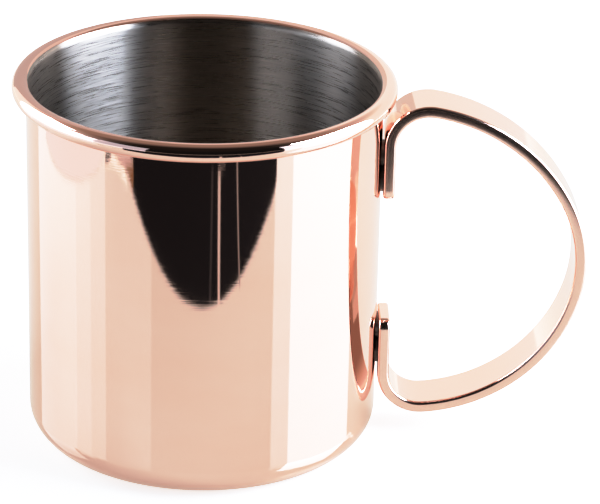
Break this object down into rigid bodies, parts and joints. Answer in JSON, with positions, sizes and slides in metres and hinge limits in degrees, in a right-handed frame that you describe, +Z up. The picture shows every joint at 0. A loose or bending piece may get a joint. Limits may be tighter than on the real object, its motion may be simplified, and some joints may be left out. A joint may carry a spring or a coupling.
{
  "type": "mug",
  "caption": "Straight-sided metal drinking mug with a rolled rim, copper outside, brushed steel inside, and an ear-shaped handle bent from one flat strip.",
  "frame": {"origin": "middle of the flat ring that the mug stands on, at table height", "axes": "+Z up along the cup's axis, +X from the cup's axis out through the handle, +Y completes the right-handed frame"},
  "size_m": [0.1377, 0.0912, 0.091],
  "materials": {
    "brushed_steel_inside": "drawn stainless steel, brushed in rings",
    "polished_copper": "bright polished rose copper with fine polishing lines round the wall",
    "weld_metal": "bare weld metal"
  },
  "bodies": {
    "root": {"steel_cup": "brushed_steel_inside", "copper_layer": "polished_copper", "handle_strip": "polished_copper", "upper_welds": "weld_metal", "lower_welds": "weld_metal"}
  },
  "joints": []
}
